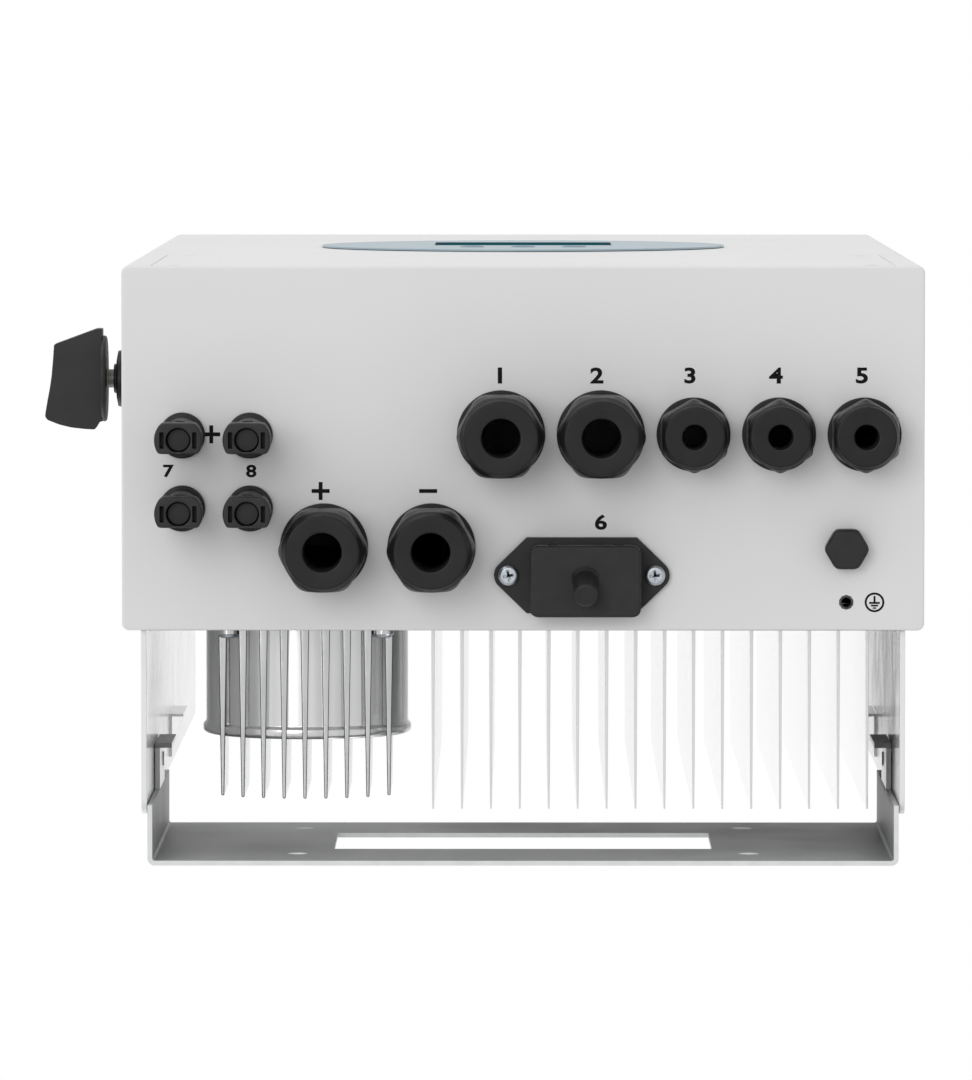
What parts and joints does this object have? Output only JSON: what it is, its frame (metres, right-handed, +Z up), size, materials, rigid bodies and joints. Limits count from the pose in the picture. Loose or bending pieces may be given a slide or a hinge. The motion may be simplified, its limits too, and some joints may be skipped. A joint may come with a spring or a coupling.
{
  "type": "string inverter",
  "caption": "Wall-hung solar inverter: sheet-metal housing with cable glands and sockets underneath, round display panel, finned heat sink, potted choke and lift-off wall bracket.",
  "frame": {"origin": "on the bracket's rear face, on the centreline, at the height of the lower row of bolt holes", "axes": "+Z up, +Y towards the wall, -Y towards the person in front, +X to that person's right"},
  "size_m": [0.3653, 0.2487, 0.628],
  "materials": {
    "powder_coat": "fine textured powder coat, pale grey",
    "bracket_paint": "satin grey paint on bent sheet steel",
    "fin_aluminium": "plain extruded aluminium, satin",
    "cast_aluminium": "bright turned and polished casting",
    "copper_winding": "enamelled copper wire",
    "panel_film": "printed polycarbonate film",
    "display_glass": "glossy screen",
    "button_plastic": "satin moulded",
    "circuit_board": "solder mask",
    "black_nylon": "moulded nylon, satin",
    "black_rubber": "moulded rubber",
    "zinc_steel": "zinc plated",
    "capacitor_sleeve": "shrink sleeve",
    "terminal_plastic": "moulded"
  },
  "bodies": {
    "bracket": {"wall_bracket": "bracket_paint"},
    "inverter": {"housing": "powder_coat", "side_plate_right": "powder_coat", "side_plate_left": "powder_coat", "heat_sink": "fin_aluminium", "choke_pot": "cast_aluminium", "choke_toroid": "copper_winding", "display_panel": "panel_film", "lcd_module": "display_glass", "display_board": "circuit_board", "dc_switch_body": "black_nylon", "dc_switch_collar": "black_nylon", "data_port_flange": "black_nylon", "data_port_screw_left": "zinc_steel", "data_port_screw_right": "zinc_steel", "vent_plug": "black_nylon", "earth_insert": "zinc_steel", "wiring_partition": "powder_coat", "power_board": "circuit_board", "capacitor_bank": "capacitor_sleeve", "control_board": "circuit_board", "ac_terminal_block": "terminal_plastic", "battery_terminal_block": "black_nylon", "solar_connector_1": "black_nylon", "solar_connector_2": "black_nylon", "solar_connector_3": "black_nylon", "solar_connector_4": "black_nylon", "port_1_gland_body": "black_nylon", "port_1_gland_seal": "black_rubber", "port_2_gland_body": "black_nylon", "port_2_gland_seal": "black_rubber", "port_3_gland_body": "black_nylon", "port_3_gland_seal": "black_rubber", "port_4_gland_body": "black_nylon", "port_4_gland_seal": "black_rubber", "port_5_gland_body": "black_nylon", "port_5_gland_seal": "black_rubber", "battery_plus_gland_body": "black_nylon", "battery_plus_gland_seal": "black_rubber", "battery_minus_gland_body": "black_nylon", "battery_minus_gland_seal": "black_rubber"},
    "wiring_cover": {"wiring_cover": "powder_coat", "wiring_cover_gasket": "black_rubber", "wiring_cover_screw_1": "zinc_steel", "wiring_cover_screw_2": "zinc_steel", "wiring_cover_screw_3": "zinc_steel", "wiring_cover_screw_4": "zinc_steel"},
    "dc_switch": {"dc_switch_spindle": "zinc_steel", "dc_switch_knob": "black_nylon"},
    "button_1": {"button_1": "button_plastic"},
    "button_2": {"button_2": "button_plastic"},
    "button_3": {"button_3": "button_plastic"},
    "data_port_cap": {"data_port_cap": "black_nylon"},
    "port_1_nut": {"port_1_gland_nut": "black_nylon"},
    "port_2_nut": {"port_2_gland_nut": "black_nylon"},
    "port_3_nut": {"port_3_gland_nut": "black_nylon"},
    "port_4_nut": {"port_4_gland_nut": "black_nylon"},
    "port_5_nut": {"port_5_gland_nut": "black_nylon"},
    "battery_plus_nut": {"battery_plus_gland_nut": "black_nylon"},
    "battery_minus_nut": {"battery_minus_gland_nut": "black_nylon"}
  },
  "joints": [
    {"name": "bracket_lift", "type": "slide", "parent": "bracket", "child": "inverter", "axis": [0, 0, 1], "range_m": [0, 0.03]},
    {"name": "wiring_cover_off", "type": "slide", "parent": "inverter", "child": "wiring_cover", "axis": [0, -1, 0], "range_m": [0, 0.04]},
    {"name": "dc_switch_turn", "type": "hinge", "parent": "inverter", "child": "dc_switch", "pos_m": [-0.17, -0.19795, 0.041], "axis": [1, 0, 0], "range_deg": [0, 90]},
    {"name": "data_port_cap_pull", "type": "slide", "parent": "inverter", "child": "data_port_cap", "axis": [0, 0, -1], "range_m": [0, 0.02]},
    {"name": "button_1_press", "type": "slide", "parent": "inverter", "child": "button_1", "axis": [0, 1, 0], "range_m": [0, 0.001], "stiffness_N_per_m": 1000},
    {"name": "button_2_press", "type": "slide", "parent": "inverter", "child": "button_2", "axis": [0, 1, 0], "range_m": [0, 0.001], "stiffness_N_per_m": 1000},
    {"name": "button_3_press", "type": "slide", "parent": "inverter", "child": "button_3", "axis": [0, 1, 0], "range_m": [0, 0.001], "stiffness_N_per_m": 1000},
    {"name": "port_1_nut_turn", "type": "hinge", "parent": "inverter", "child": "port_1_nut", "pos_m": [-0.00905, -0.17785, -0.05], "axis": [0, 0, -1], "range_deg": [0, 360]},
    {"name": "port_2_nut_turn", "type": "hinge", "parent": "inverter", "child": "port_2_nut", "pos_m": [0.03195, -0.17785, -0.05], "axis": [0, 0, -1], "range_deg": [0, 360]},
    {"name": "port_3_nut_turn", "type": "hinge", "parent": "inverter", "child": "port_3_nut", "pos_m": [0.07, -0.17785, -0.05], "axis": [0, 0, -1], "range_deg": [0, 360]},
    {"name": "port_4_nut_turn", "type": "hinge", "parent": "inverter", "child": "port_4_nut", "pos_m": [0.1051, -0.17785, -0.05], "axis": [0, 0, -1], "range_deg": [0, 360]},
    {"name": "port_5_nut_turn", "type": "hinge", "parent": "inverter", "child": "port_5_nut", "pos_m": [0.1402, -0.17785, -0.05], "axis": [0, 0, -1], "range_deg": [0, 360]},
    {"name": "battery_plus_nut_turn", "type": "hinge", "parent": "inverter", "child": "battery_plus_nut", "pos_m": [-0.0818, -0.13135, -0.05], "axis": [0, 0, -1], "range_deg": [0, 360]},
    {"name": "battery_minus_nut_turn", "type": "hinge", "parent": "inverter", "child": "battery_minus_nut", "pos_m": [-0.0376, -0.13135, -0.05], "axis": [0, 0, -1], "range_deg": [0, 360]}
  ]
}
